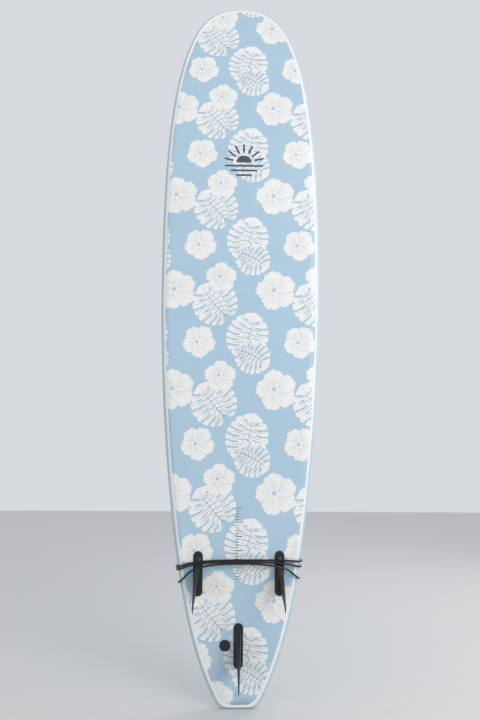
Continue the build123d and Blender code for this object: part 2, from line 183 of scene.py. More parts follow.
def merged(name, pieces):
    """Pieces of one material as one piece."""
    work = bmesh.new()
    for piece in pieces:
        work.from_mesh(piece.data)
    joined = pieces[0]
    work.to_mesh(joined.data)
    work.free()
    for piece in pieces[1:]:
        bpy.data.objects.remove(piece)
    joined.name = name
    return joined


def tube(name, path, radius, material, closed=False, sides=16):
    """A round tube along points, its cross-section carried without twist."""
    count = len(path)
    rings = []
    side = None
    for i, point in enumerate(path):
        before = path[i - 1] if i or closed else path[0]
        after = path[(i + 1) % count] if i + 1 < count or closed else path[-1]
        along = (after - before).normalized()
        if side is None:
            side = along.orthogonal().normalized()
        side = (side - along * side.dot(along)).normalized()
        up = along.cross(side)
        rings.append([point + side * a + up * b for a, b in round_profile(radius, sides)])
    return ring_skin(name, rings, material, closed)


def rounded_strip(width, thick, corner=None, steps=4):
    """A rounded rectangle: a flat strap's cross-section, or a sewn layer's outline."""
    radius = corner or thick / 2
    spots = []
    for cx, cy, start in ((1, 1, 0), (-1, 1, 90), (-1, -1, 180), (1, -1, 270)):
        for i in range(steps + 1):
            angle = math.radians(start + 90 * i / steps)
            x = cx * (width / 2 - radius) + radius * math.cos(angle)
            y = cy * (thick / 2 - radius) + radius * math.sin(angle)
            spots.append((x, y))
    return spots


def round_profile(radius, steps=24):
    return [(radius * math.cos(2 * math.pi * i / steps), radius * math.sin(2 * math.pi * i / steps))
            for i in range(steps)]


# ======== the board's surfaces
def half_width(z):
    z = min(max(z, 0.0), TIP_Z)
    if z >= WIDE_Z:
        u = min((z - WIDE_Z) / (LENGTH - WIDE_Z), 1.0)
        return HALF * (1 - u ** 2.7) ** 0.34
    s = (WIDE_Z - z) / WIDE_Z
    width = HALF * (1 - 0.545 * s ** 2 - 0.225 * s ** 9)
    if z < TAIL_CORNER:
        width -= TAIL_CORNER - math.sqrt(TAIL_CORNER ** 2 - (TAIL_CORNER - z) ** 2)
    return width


def bottom_y(z):
    z = min(max(z, 0.0), LENGTH)
    if z >= FLAT_Z:
        return BOTTOM_Y + NOSE_ROCKER * ((z - FLAT_Z) / (LENGTH - FLAT_Z)) ** 2.3
    return BOTTOM_Y + TAIL_ROCKER * ((FLAT_Z - z) / FLAT_Z) ** 2.2


def thickness(z):
    z = min(max(z, 0.0), LENGTH)
    if z >= THICK_Z:
        return THICKNESS - (THICKNESS - NOSE_THICK) * ((z - THICK_Z) / (LENGTH - THICK_Z)) ** 2.6
    return THICKNESS - (THICKNESS - TAIL_THICK) * ((THICK_Z - z) / THICK_Z) ** 2.4


def rail_reach(x, z):
    """How far x is up the tucked rail at z: 0 on the flat bottom, 1 at the rail's apex."""
    tuck = RAIL_TUCK * thickness(z)
    return min(max((abs(x) - half_width(z) + tuck) / tuck, 0.0), 1.0)


def bottom_point(x, z, lift=0.0):
    """The bottom's surface at x, z, moved outwards by lift."""
    reach = rail_reach(x, z)
    tuck = RAIL_TUCK * thickness(z)
    rise = math.sqrt(1 - reach ** 2)
    return Vector((x + math.copysign(lift * reach, x),
                   bottom_y(z) + tuck * (1 - rise) - lift * rise, z))


def crown_reach(t):
    """The deck curve's reach across, as a share of the half width."""
    return (1 - t) ** 3 + 3 * (1 - t) ** 2 * t + 1.86 * (1 - t) * t ** 2


def crown_rise(t):
    """The deck curve's rise from the rail's apex, as a share of the height above it."""
    return 2.55 * (1 - t) ** 2 * t + 3 * (1 - t) * t ** 2 + t ** 3


def deck_y(x, z):
    """The deck's height at x, z, from the section's Bezier curve."""
    reach = abs(x) / half_width(z)
    low, high = 0.0, 1.0
    for _ in range(30):
        t = (low + high) / 2
        low, high = (t, high) if crown_reach(t) > reach else (low, t)
    top = bottom_y(z) + thickness(z)
    apex = bottom_y(z) + RAIL_TUCK * thickness(z)
    return apex + crown_rise(t) * (top - apex)


def deck_normal(x, z):
    step = 0.001
    slope_x = (deck_y(x + step, z) - deck_y(x - step, z)) / (2 * step)
    slope_z = (deck_y(x, z + step) - deck_y(x, z - step)) / (2 * step)
    return Vector((-slope_x, 1.0, -slope_z)).normalized()


def station_heights():
    """Heights along the board, close together at the two ends."""
    tail = [0.0, 0.0004, 0.0012, 0.0025, 0.004, 0.006, 0.009, 0.0125, 0.017, 0.022, 0.028, 0.036,
            0.048]
    middle = [0.065 + i * 0.0235 for i in range(106)]
    nose = [2.556, 2.578, 2.598, 2.616, 2.633, 2.649, 2.663, 2.675, 2.686, 2.696, 2.705, 2.713,
            2.72, 2.726, 2.731, 2.735, 2.738, 2.7402, 2.7416, 2.7424, TIP_Z]
    return tail + middle + nose


STATIONS = station_heights()


def outline_spot(z, inset):
    """The outline's point for station z, drawn inset inside, less so at the ends: (x, z)."""
    end = inset - SEAM_END_TUCK
    return half_width(z) - inset, end + z * (LENGTH - 2 * end) / TIP_Z


# ======== the shader groups and materials
def new_group(name, sizes, outputs):
    """An empty shader node group that takes a Vector and named sizes, and gives named floats."""
    tree = bpy.data.node_groups.new(name, "ShaderNodeTree")
    socket = tree.interface.new_socket
    socket("Vector", in_out="INPUT", socket_type="NodeSocketVector")
    for label, value in sizes.items():
        socket(label, in_out="INPUT", socket_type="NodeSocketFloat").default_value = value
    for label in outputs:
        socket(label, in_out="OUTPUT", socket_type="NodeSocketFloat")
    return tree, tree.nodes.new("NodeGroupInput"), tree.nodes.new("NodeGroupOutput")


def calc(tree, operation, *values, clamp=False):
    """A math node on sockets or numbers; gives its output socket."""
    node = tree.nodes.new("ShaderNodeMath")
    node.operation = operation
    node.use_clamp = clamp
    for socket, value in zip(node.inputs, values):
        if isinstance(value, (int, float)):
            socket.default_value = value
        else:
            tree.links.new(value, socket)
    return node.outputs[0]


def noise(tree, vector, scale, detail=2.0, roughness=0.5):
    node = tree.nodes.new("ShaderNodeTexNoise")
    tree.links.new(vector, node.inputs["Vector"])
    if isinstance(scale, (int, float)):
        node.inputs["Scale"].default_value = scale
    else:
        tree.links.new(scale, node.inputs["Scale"])
    node.inputs["Detail"].default_value = detail
    node.inputs["Roughness"].default_value = roughness
    return node.outputs["Fac"]


def make_grain_group():
    """Fine moulded grain: a height, and a mask of slightly worn patches."""
    tree, given, made = new_group(
        "moulded_grain", {"Grain Scale": 900.0, "Patch Scale": 6.0}, ("Height", "Patches"))
    fine = noise(tree, given.outputs["Vector"], given.outputs["Grain Scale"], 3.0, 0.6)
    coarse = noise(tree, given.outputs["Vector"], given.outputs["Patch Scale"], 4.0, 0.65)
    tree.links.new(fine, made.inputs["Height"])
    patches = calc(tree, "MULTIPLY_ADD", coarse, 2.4, -0.75, clamp=True)
    tree.links.new(patches, made.inputs["Patches"])
    return tree


def make_weave_group():
    """Webbing: crossing yarns on the piece's own UV, as a height and a painted shade, darker in the
    grooves between yarns and lighter on their crowns.
    """
    tree, given, made = new_group("webbing_weave", {"Yarns": 900.0}, ("Height", "Painted Shade"))
    split = tree.nodes.new("ShaderNodeSeparateXYZ")
    tree.links.new(given.outputs["Vector"], split.inputs[0])
    along = calc(tree, "MULTIPLY", split.outputs["X"], given.outputs["Yarns"])
    across = calc(tree, "MULTIPLY", split.outputs["Y"], given.outputs["Yarns"])
    diagonal = calc(tree, "ADD", along, calc(tree, "MULTIPLY", across, 0.5))
    warp = calc(tree, "ABSOLUTE", calc(tree, "SINE", diagonal))
    weft = calc(tree, "ABSOLUTE", calc(tree, "SINE", calc(tree, "MULTIPLY", across, 2.0)))
    height = calc(tree, "MULTIPLY", warp, calc(tree, "MULTIPLY_ADD", weft, 0.6, 0.4))
    tree.links.new(height, made.inputs["Height"])
    # painted shade: this colour mask follows the height, with yarn crowns lighter and the grooves
    # between yarns darker
    tree.links.new(calc(tree, "MULTIPLY_ADD", height, 0.5, 0.5), made.inputs["Painted Shade"])
    return tree


def make_emboss_group():
    """The soft deck's embossed cells: a height and the mask of the grooves between them."""
    tree, given, made = new_group("embossed_cells", {"Cell Scale": 260.0}, ("Height", "Groove"))
    cells = tree.nodes.new("ShaderNodeTexVoronoi")
    cells.feature = "DISTANCE_TO_EDGE"
    tree.links.new(given.outputs["Vector"], cells.inputs["Vector"])
    tree.links.new(given.outputs["Cell Scale"], cells.inputs["Scale"])
    height = calc(tree, "MULTIPLY", cells.outputs["Distance"], 6.0, clamp=True)
    tree.links.new(height, made.inputs["Height"])
    tree.links.new(calc(tree, "SUBTRACT", 1.0, height), made.inputs["Groove"])
    return tree


GRAIN = make_grain_group()
WEAVE = make_weave_group()
EMBOSS = make_emboss_group()


class Finish:
    """One material being put together: its tree, its Principled shader and its coordinates."""

    def __init__(self, name, coordinates="Object"):
        self.material = bpy.data.materials.new(name)
        self.material.use_nodes = True
        self.tree = self.material.node_tree
        self.shader = self.tree.nodes["Principled BSDF"]
        coords = self.tree.nodes.new("ShaderNodeTexCoord")
        self.place = coords.outputs[coordinates]

    def group(self, tree, **values):
        node = self.tree.nodes.new("ShaderNodeGroup")
        node.node_tree = tree
        self.tree.links.new(self.place, node.inputs["Vector"])
        for label, value in values.items():
            node.inputs[label.replace("_", " ")].default_value = value
        return node

    def colour(self, mask, low, high):
        """Base colour between two tones by a mask."""
        mix = self.tree.nodes.new("ShaderNodeMix")
        mix.data_type = "RGBA"
        mix.inputs["A"].default_value = (*low, 1.0)
        mix.inputs["B"].default_value = (*high, 1.0)
        self.tree.links.new(mask, mix.inputs["Factor"])
        self.tree.links.new(mix.outputs["Result"], self.shader.inputs["Base Color"])

    def roughness(self, mask, low, high):
        self.tree.links.new(calc(self.tree, "MULTIPLY_ADD", mask, high - low, low),
                            self.shader.inputs["Roughness"])

    def bump(self, height, distance, strength=1.0):
        node = self.tree.nodes.new("ShaderNodeBump")
        node.inputs["Distance"].default_value = distance
        node.inputs["Strength"].default_value = strength
        self.tree.links.new(height, node.inputs["Height"])
        self.tree.links.new(node.outputs["Normal"], self.shader.inputs["Normal"])


def moulded(name, low, high, rough=(0.4, 0.55), grain=900.0, relief=0.00006, patch=9.0):
    """Moulded or printed plastic: fine grain and faint patches."""
    finish = Finish(name)
    node = finish.group(GRAIN, Grain_Scale=grain, Patch_Scale=patch)
    finish.colour(node.outputs["Patches"], low, high)
    finish.roughness(node.outputs["Patches"], *rough)
    finish.bump(node.outputs["Height"], relief)
    return finish.material


def woven(name, low, high, yarns=1900.0, relief=0.0004):
    """Woven webbing on its own UV."""
    finish = Finish(name, "UV")
    node = finish.group(WEAVE, Yarns=yarns)
    # base colour painted darker in the grooves between yarns and lighter on their crowns: painted
    # shade, not a second dye
    finish.colour(node.outputs["Painted Shade"], low, high)
    finish.roughness(node.outputs["Height"], 0.95, 0.72)
    finish.bump(node.outputs["Height"], relief)
    finish.shader.inputs["Sheen Weight"].default_value = 0.25
    return finish.material


def foam_deck():
    """Soft deck foam with its embossed cells."""
    finish = Finish("deck_foam")
    cells = finish.group(EMBOSS, Cell_Scale=330.0)
    grain = finish.group(GRAIN, Grain_Scale=1500.0, Patch_Scale=5.0)
    finish.colour(grain.outputs["Patches"], (0.40, 0.58, 0.70), (0.47, 0.65, 0.77))
    finish.roughness(grain.outputs["Patches"], 0.50, 0.66)
    mixed = calc(finish.tree, "ADD", calc(finish.tree, "MULTIPLY", cells.outputs["Height"], 0.7),
                 calc(finish.tree, "MULTIPLY", grain.outputs["Height"], 0.3))
    finish.bump(mixed, 0.00022, 0.7)
    return finish.material


def metal(name, tone, rough):
    finish = Finish(name)
    node = finish.group(GRAIN, Grain_Scale=2600.0, Patch_Scale=60.0)
    finish.colour(node.outputs["Patches"], tuple(0.85 * t for t in tone), tone)
    finish.roughness(node.outputs["Patches"], *rough)
    finish.bump(node.outputs["Height"], 0.00002)
    finish.shader.inputs["Metallic"].default_value = 1.0
    return finish.material


def stringer_wood():
    """Thin plywood edge grain."""
    finish = Finish("stringer_wood")
    node = finish.group(GRAIN, Grain_Scale=300.0, Patch_Scale=25.0)
    finish.colour(node.outputs["Height"], (0.34, 0.20, 0.10), (0.60, 0.41, 0.24))
    finish.roughness(node.outputs["Patches"], 0.6, 0.75)
    finish.bump(node.outputs["Height"], 0.0001)
    return finish.material


# linear tones of the inks and plastics
SKY = moulded("ink_sky", (0.405, 0.560, 0.675), (0.43, 0.585, 0.70), (0.34, 0.44))
CREAM = moulded("ink_cream", (0.83, 0.82, 0.79), (0.87, 0.86, 0.83), (0.34, 0.44))
SLATE = moulded("ink_slate", (0.27, 0.375, 0.495), (0.30, 0.41, 0.53), (0.36, 0.46))
MIST = moulded("ink_mist", (0.63, 0.645, 0.66), (0.68, 0.69, 0.70), (0.36, 0.46))
CHARCOAL = moulded("ink_charcoal", (0.055, 0.065, 0.085), (0.075, 0.085, 0.105), (0.4, 0.5))
SEAM = moulded("seam_plastic", (0.84, 0.83, 0.78), (0.88, 0.87, 0.83), (0.38, 0.5))
BLACK = moulded("black_moulding", (0.006, 0.006, 0.007), (0.013, 0.013, 0.015), (0.30, 0.44),
                1400.0)
FIN_BLACK = moulded("fin_plastic", (0.004, 0.004, 0.005), (0.012, 0.012, 0.014), (0.24, 0.36),
                    700.0)
URETHANE = moulded("cord_urethane", (0.005, 0.005, 0.006), (0.011, 0.011, 0.012), (0.20, 0.32),
                   500.0)
HORN = moulded("horn_rubber", (0.014, 0.014, 0.015), (0.024, 0.024, 0.026), (0.45, 0.6), 1200.0)
WEBBING = woven("black_webbing", (0.006, 0.006, 0.007), (0.030, 0.030, 0.033))
NEOPRENE = woven("cuff_neoprene", (0.014, 0.014, 0.016), (0.034, 0.034, 0.037), 2600.0, 0.0002)
BRAID = woven("string_braid", (0.008, 0.008, 0.009), (0.032, 0.032, 0.035), 3200.0, 0.0003)
FOAM = foam_deck()
CORE = moulded("bead_foam", (0.80, 0.80, 0.78), (0.86, 0.86, 0.84), (0.7, 0.85), 220.0, 0.0004)
WOOD = stringer_wood()
BRASS = metal("insert_brass", (0.72, 0.52, 0.24), (0.25, 0.4))
STEEL = metal("stainless_steel", (0.62, 0.62, 0.61), (0.18, 0.32))
THREAD = moulded("sewing_thread", (0.05, 0.05, 0.055), (0.10, 0.10, 0.11), (0.6, 0.8), 3000.0)

NODE_FINISH = (
    (CORE, "core_left core_centre core_right"), (WOOD, "stringer_left stringer_right"),
    (FIN_BLACK, "fin_left fin_right fin_centre"), (BRASS, "fin_inserts"),
    (BLACK, "fin_deck_plugs leash_plug_cup leash_plug_base"),
    (BLACK, "rail_swivel_housing cuff_swivel_housing"),
    (STEEL, "fin_screws leash_plug_bar leash_plug_screw rail_swivel_pin cuff_swivel_pin"))


def finish_nodes():
    """Every CAD node that stays gets its finish."""
    for material, names in NODE_FINISH:
        for name in names.split():
            mesh = nodes[name].data
            mesh.materials.clear()
            mesh.materials.append(material)


finish_nodes()


# ======== the leash cord
def cord_curve(name, points, diameter, material):
    """A smooth round cord on a NURBS line whose control points are the route's."""
    curve = bpy.data.curves.new(name, "CURVE")
    curve.dimensions = "3D"
    curve.bevel_depth = diameter / 2
    curve.bevel_resolution = 5
    curve.resolution_u = 16
    curve.use_fill_caps = True
    spline = curve.splines.new("NURBS")
    spline.points.add(len(points) - 1)
    for spot, point in zip(spline.points, points):
        spot.co = (*point, 1.0)
    spline.order_u = 3
    spline.use_endpoint_u = True
    curve.materials.append(material)
    return in_scene(bpy.data.objects.new(name, curve))


def leash_cord():
    points = [Vector(p) * MM for p in ROUTE]
    cord = cord_curve("leash_cord_line", points, CORD_DIAMETER, URETHANE)
    settle(cord, "cord_urethane", "leash_cord")
    return cord


cord = leash_cord()


# ======== what repeats along a line
def make_repeat_tree():
    """An item set along lines at a spacing, growing or shrinking towards the end."""
    tree = bpy.data.node_groups.new("repeat_along", "GeometryNodeTree")
    for label, kind in (("Geometry", "Geometry"), ("Item", "Object"), ("Spacing", "Float"),
                        ("End Scale", "Float"), ("Finish", "Material")):
        tree.interface.new_socket(label, in_out="INPUT", socket_type="NodeSocket" + kind)
    tree.interface.new_socket("Geometry", in_out="OUTPUT", socket_type="NodeSocketGeometry")
    add, link = tree.nodes.new, tree.links.new
    given, made = add("NodeGroupInput"), add("NodeGroupOutput")
    line = add("GeometryNodeMeshToCurve")
    dots = add("GeometryNodeCurveToPoints")
    dots.mode = "LENGTH"
    item = add("GeometryNodeObjectInfo")
    size = add("GeometryNodeAttributeDomainSize")
    size.component = "POINTCLOUD"
    place = add("GeometryNodeInstanceOnPoints")
    real = add("GeometryNodeRealizeInstances")
    finish = add("GeometryNodeSetMaterial")
    for source, output, target, entry in (
            (given, "Geometry", line, "Mesh"), (line, "Curve", dots, "Curve"),
            (given, "Spacing", dots, "Length"), (given, "Item", item, "Object"),
            (dots, "Points", size, "Geometry"), (dots, "Points", place, "Points"),
            (dots, "Rotation", place, "Rotation"), (item, "Geometry", place, "Instance"),
            (place, "Instances", real, "Geometry"), (real, "Geometry", finish, "Geometry"),
            (given, "Finish", finish, "Material"), (finish, "Geometry", made, "Geometry")):
        link(source.outputs[output], target.inputs[entry])
    last = calc(tree, "SUBTRACT", size.outputs["Point Count"], 1.0)
    share = calc(tree, "DIVIDE", add("GeometryNodeInputIndex").outputs["Index"], last)
    change = calc(tree, "SUBTRACT", given.outputs["End Scale"], 1.0)
    scale = calc(tree, "MULTIPLY_ADD", share, change, 1.0)
    link(scale, place.inputs["Scale"])
    return tree


REPEAT = make_repeat_tree()
STITCH_SPACING = 0.0034


def repeated(name, paths, item, spacing, material, end_scale=1.0):
    """An item repeated along lines of points, as one plain mesh; the item itself goes."""
    points, edges = [], []
    for path in paths:
        edges += [(len(points) + i, len(points) + i + 1) for i in range(len(path) - 1)]
        points += [tuple(p) for p in path]
    mesh = bpy.data.meshes.new(name + "_line")
    mesh.from_pydata(points, edges, [])
    carrier = in_scene(bpy.data.objects.new(name + "_line", mesh))
    modifier = carrier.modifiers.new("repeat", "NODES")
    modifier.node_group = REPEAT
    values = {"Item": item, "Spacing": spacing, "End Scale": end_scale, "Finish": material}
    for socket in REPEAT.interface.items_tree:
        if socket.in_out == "INPUT" and socket.name in values:
            modifier[socket.identifier] = values[socket.name]
    carrier.update_tag()
    depsgraph = bpy.context.evaluated_depsgraph_get()
    result = bpy.data.meshes.new_from_object(carrier.evaluated_get(depsgraph))
    piece = in_scene(bpy.data.objects.new(name, result))
    bpy.data.objects.remove(carrier)
    bpy.data.objects.remove(item)
    return piece


def stitch_bead(length=0.0024, radius=0.00042):
    """One raised stitch, lying along Z."""
    rings = []
    for i in range(7):
        angle = math.pi * (i + 0.5) / 7
        height, size = -length / 2 * math.cos(angle), radius * math.sin(angle)
        rings.append([Vector((x, y, height)) for x, y in round_profile(size, 6)])
    return ring_skin("stitch_bead", rings, THREAD)


def stitching(name, paths):
    """Rows of stitches on the leash's cloth pieces."""
    return settle(repeated(name, paths, stitch_bead(), STITCH_SPACING, THREAD), "webbing")


def horn_rib(radius, thick=0.0007):
    """One moulded rib round a horn, its hole along Z."""
    path = [Vector((radius * math.cos(t), radius * math.sin(t), 0))
            for t in [2 * math.pi * i / 28 for i in range(28)]]
    return tube("horn_rib", path, thick, HORN, closed=True, sides=8)


# ======== the horns on the cord's ends
def horn(name, at, towards, node):
    """A strain-relief horn: a rounded collar and a ribbed taper down to the cord."""
    axis = (towards - at).normalized()
    side = Vector((0, 1, 0)).cross(axis).normalized()
    up = axis.cross(side)

    def spot(a, b, height):
        return at + side * a + up * b + axis * height

    outline = [(4.9, 30.3), (6.3, 30.4), (6.9, 30.9), (7.1, 31.8), (7.05, 33.4), (6.5, 34.6),
               (6.2, 35.6), (5.8, 42.0), (5.3, 50.0), (4.8, 58.0), (4.5, 62.6), (4.25, 63.9),
               (3.7, 64.3)]
    rings = [[spot(a, b, height * MM) for a, b in round_profile(radius * MM, 32)]
             for radius, height in outline]
    body = ring_skin(name, rings, HORN)
    path = [spot(0, 0, 0.038), spot(0, 0, 0.0605)]
    ribs = repeated(name + "_ribs", [path], horn_rib(0.0061), 0.0032, HORN, 0.78)
    return settle(merged(name, [body, ribs]), "horn_rubber", node)


rail_horn = horn("rail_horn_ribbed", RAIL_SWIVEL_AT, Vector(ROUTE[1]) * MM, "rail_horn")
cuff_horn = horn("cuff_horn_ribbed", CUFF_SWIVEL_AT, Vector(ROUTE[-2]) * MM, "cuff_horn")


# ======== the foam skin
def skin_ring(z, inset):
    """The section's points at z from the flat bottom round the right rail to the deck's crown."""
    half = half_width(z) - inset
    low = bottom_y(z) + 0.0009 + inset
    top = bottom_y(z) + thickness(z) - inset
    tuck = RAIL_TUCK * (top - low)
    apex = low + tuck
    ring = [(half - tuck, low)]
    for i in range(1, 15):
        angle = math.pi / 2 * i / 14
        ring.append((half - tuck + tuck * math.sin(angle), apex - tuck * math.cos(angle)))
    for i in range(1, 27):
        ring.append((half * crown_reach(i / 26), apex + (top - apex) * crown_rise(i / 26)))
    return ring


TAIL_SOFTEN = 0.005
NOSE_SOFTEN = 0.007
DECK_PLUG_HOLE = 0.0111
CUP_HOLE = 0.0146
CUP_FLANGE_HOLE = 0.0191
# each fin's place across and up, and from its middle to each post
FIN_POSTS = [(-0.147, 0.466, 0.055), (0.146, 0.468, 0.055), (0.0, 0.216, 0.050)]


def cutter(at, out, outline):
    """A round stepped plug-shaped solid along out, from (radius, height) steps."""
    side = out.orthogonal().normalized()
    up = out.cross(side)
    rings = [[at + out * height + side * a + up * b for a, b in round_profile(radius, 40)]
             for radius, height in outline]
    return ring_skin("cutter", rings, FOAM)


def hole_cutters():
    """Solids for the holes over the six fin screws and round the leash plug."""
    cutters = []
    for x, z, post in FIN_POSTS:
        slope = (bottom_y(z + 0.0005) - bottom_y(z - 0.0005)) / 0.001
        along, out = Vector((0, slope, 1)).normalized(), Vector((0, 1, -slope)).normalized()
        for side in (-1, 1):
            at = Vector((x, bottom_y(z), z)) + along * side * post
            deep = deck_y(x, z + side * post) - bottom_y(z + side * post) - 0.0006
            cutters.append(cutter(at, out, [(DECK_PLUG_HOLE, deep - 0.0035),
                                            (DECK_PLUG_HOLE, deep + 0.009)]))
    origin, _, _, up = plug_frame()
    cutters.append(cutter(origin, up, [(CUP_HOLE, -0.021), (CUP_HOLE, -0.0022),
                                       (CUP_FLANGE_HOLE, -0.0022), (CUP_FLANGE_HOLE, 0.006)]))
    return merged("hole_cutters", cutters)


def plug_frame():
    """The deck's tangent frame at the leash plug: origin, along the saver, across, outwards."""
    x, z = PLUG_AT
    up = deck_normal(x, z)
    line = Vector((RAIL_SWIVEL_AT.x - x, 0, RAIL_SWIVEL_AT.z - z))
    along = (line - up * line.dot(up)).normalized()
    return Vector((x, deck_y(x, z), z)), along, up.cross(along), up


def drilled(piece):
    """The piece with its holes cut, its crisp edges kept."""
    tools = hole_cutters()
    modifier = piece.modifiers.new("holes", "BOOLEAN")
    modifier.operation = "DIFFERENCE"
    modifier.solver = "EXACT"
    modifier.object = tools
    depsgraph = bpy.context.evaluated_depsgraph_get()
    mesh = bpy.data.meshes.new_from_object(piece.evaluated_get(depsgraph))
    piece.modifiers.clear()
    piece.data = mesh
    bpy.data.objects.remove(tools)
    mesh.set_sharp_from_angle(angle=math.radians(38))
    return piece


def foam_skin():
    """Deck, rails and both ends in one closed skin, its end edges rounded."""
    points = []
    for z in STATIONS:
        near = min(z, TIP_Z - z)
        soften = TAIL_SOFTEN if z < 1.0 else NOSE_SOFTEN
        inset = 0
        if near < soften:
            inset = soften - math.sqrt(max(soften ** 2 - max(soften - near, 0) ** 2, 0))
        right = skin_ring(z, inset)
        left = [(-x, y) for x, y in reversed(right[:-1])]
        points.extend(Vector((x, y, z)) for x, y in right + left)
    faces = ring_faces(len(right) + len(left), len(STATIONS))
    piece = mesh_piece("foam_skin", points, faces, [FOAM])
    return settle(drilled(outwards(piece)), "skin_foam", "deck_skin")


foam_skin()


# ======== the printed bottom
INKS = {"sky": SKY, "cream": CREAM, "slate": SLATE, "mist": MIST, "charcoal": CHARCOAL}
TILE = 0.380


def stroke(points, widths):
    """A tapering stroke along points, as one closed outline."""
    left, right = [], []
    for i, point in enumerate(points):
        before = points[max(i - 1, 0)]
        after = points[min(i + 1, len(points) - 1)]
        along = (after - before).normalized()
        side = Vector((-along.y, along.x)) * widths[i] / 2
        left.append(point + side)
        right.append(point - side)
    return left + right[::-1]


def bend(start, end, bulge, steps=5):
    """A gently bowed line from start to end."""
    middle = (start + end) / 2
    along = end - start
    middle = middle + Vector((-along.y, along.x)) * bulge
    return [(1 - t) ** 2 * start + 2 * t * (1 - t) * middle + t * t * end
            for t in [i / steps for i in range(steps + 1)]]


def vein(start, end, bow, widths):
    return stroke(bend(start, end, bow, len(widths) - 1), widths)


def hibiscus(size, turn, seed):
    """A five-petalled bloom about its own centre: [(ink, outline), ...] in painting order."""
    chance = random.Random(seed)
    phase = [chance.uniform(0, 6.28) for _ in range(3)]
    reach = [chance.uniform(0.90, 1.05) for _ in range(5)]

    def edge(angle):
        place = ((angle - turn) / (2 * math.pi) * 5 + 0.5) % 5
        petal = max(math.sin(math.pi * (place % 1)), 0.0)
        ruffle = sum(depth * math.sin(turns * angle + start) for (turns, depth), start
                     in zip(((13, 0.022), (24, 0.020), (41, 0.012)), phase))
        return size * (0.73 + 0.25 * petal ** 0.5 * reach[int(place)] + ruffle)

    def polar(angle, radius):
        return Vector((radius * math.cos(angle), radius * math.sin(angle)))

    eye = polar(turn + 2.2, size * 0.13)
    turns = [2 * math.pi * i / 110 for i in range(110)]
    shapes = [("cream", [polar(angle, edge(angle)) for angle in turns])]
    for petal in range(5):
        middle = turn + petal * 2 * math.pi / 5
        for offset in (-0.46, -0.30, -0.12, 0.06, 0.24, 0.42):
            angle = middle + offset + chance.uniform(-0.04, 0.04)
            far = edge(angle) * chance.uniform(0.58, 0.86)
            near = eye + polar(middle + offset * 0.5, size * 0.22)
            shapes.append(("mist", vein(near, polar(angle, far), 0.06 * offset,
                                        (0.0012, 0.0015, 0.0015, 0.0012, 0.0004))))
        notch = middle + math.pi / 5
        shapes.append(("mist", vein(polar(notch, edge(notch) * 1.02),
                                    eye + polar(notch - 0.40, size * 0.17), 0.14,
                                    (0.0040, 0.0028, 0.0022, 0.0018, 0.0015, 0.0012, 0.0005))))
        for offset in (-0.40, -0.18, 0.10, 0.34):
            angle = middle + offset
            shapes.append(("mist", vein(polar(angle, edge(angle) * 0.99),
                                        polar(angle + 0.06, edge(angle) * 0.80), 0.05,
                                        (0.0024, 0.0015, 0.0004))))
    shapes.append(("sky", [eye + polar(turn + math.pi * i / 5, size * (0.16, 0.08)[i % 2])
                           for i in range(10)]))
    shapes.append(("mist", vein(eye, eye + polar(turn + 0.9, size * 0.36), 0.15,
                                (0.0030, 0.0026, 0.0022, 0.0030, 0.0020))))
    return shapes


RIB_WIDTHS = (0.0013, 0.0016, 0.0015, 0.0014, 0.0012, 0.0010, 0.0004)
SLIT_WIDTHS = (0.0012, 0.0030, 0.0038, 0.0043, 0.0046, 0.0050, 0.0060, 0.0085)


def monstera(length, width, seed, bow=0.0):
    """A split leaf, its stalk end at the origin and its tip up: [(ink, outline), ...]."""
    chance = random.Random(seed)
    slots = [math.radians(148 - 19.5 * k + chance.uniform(-2.5, 2.5)) for k in range(7)]
    centre = Vector((0, 0.40 * length))

    def rim(angle, sign, scale=1.0):
        """The leaf's edge at an angle from the midrib, about the leaf's middle."""
        x, y = math.sin(angle), math.cos(angle)
        reach = 1 / math.sqrt((x / (0.5 * width)) ** 2 + (y / (0.60 * length)) ** 2)
        reach *= (1 - 0.36 * math.exp(-((math.pi - angle) / 0.20) ** 2)
                  + 0.05 * math.exp(-(angle / 0.16) ** 2))
        for k, slot in enumerate(slots):
            reach *= 1 - 0.12 * math.exp(-((angle - slot - 0.012 * sign) / 0.045) ** 2)
        return centre + Vector((sign * x, y)) * reach * scale

    half = [rim(math.pi * i / 100, 1) for i in range(101)]
    shapes = [("cream", half + [rim(math.pi * i / 100, -1) for i in range(99, 0, -1)])]
    for sign in (1, -1):
        for k, slot in enumerate(slots):
            root = Vector((0, length * (0.02 + 0.115 * k)))
            tip = rim(slot + 0.17, sign)
            for share, reach in ((0.0, 0.90), (0.5, 0.72)):
                start = root + Vector((0, 0.030 * length * share))
                end = start + (rim(slot + 0.17 - 0.10 * share, sign) - start) * reach
                shapes.append(("slate", vein(start, end, -0.13 * sign, RIB_WIDTHS)))
            heart = Vector((0, length * (0.07 + 0.115 * k)))
            mouth = rim(slot, sign, 1.04)
            closed = chance.random() < 0.35
            start = heart + (mouth - heart) * chance.uniform(0.26, 0.44)
            end = heart + (mouth - heart) * (0.84 if closed else 1.0)
            slit = bend(start, end, -0.12 * sign, 7)
            gap = chance.uniform(0.95, 1.5)
            widths = [w * gap for w in SLIT_WIDTHS]
            if closed:
                widths[5:] = [0.0030 * gap, 0.0018 * gap, 0.0006]
            shapes.append(("slate", stroke([spot + Vector((0.0, -0.0012)) for spot in slit[:6]],
                                           [w + 0.0008 for w in widths[:5]] + [0.0006])))
            shapes.append(("sky", stroke(slit, widths)))
            near = (mouth - heart) * 0.10
            shapes.append(("slate", vein(heart + near, heart + near * 2.6, -0.06 * sign,
                                         (0.0005, 0.0020, 0.0020, 0.0005))))
    widths = (0.0038, 0.0035, 0.0032, 0.0029, 0.0026, 0.0022, 0.0018, 0.0013, 0.0006)
    shapes.append(("slate", vein(Vector((0, -0.03 * length)), Vector((0, 0.94 * length)), bow,
                                 widths)))
    return shapes


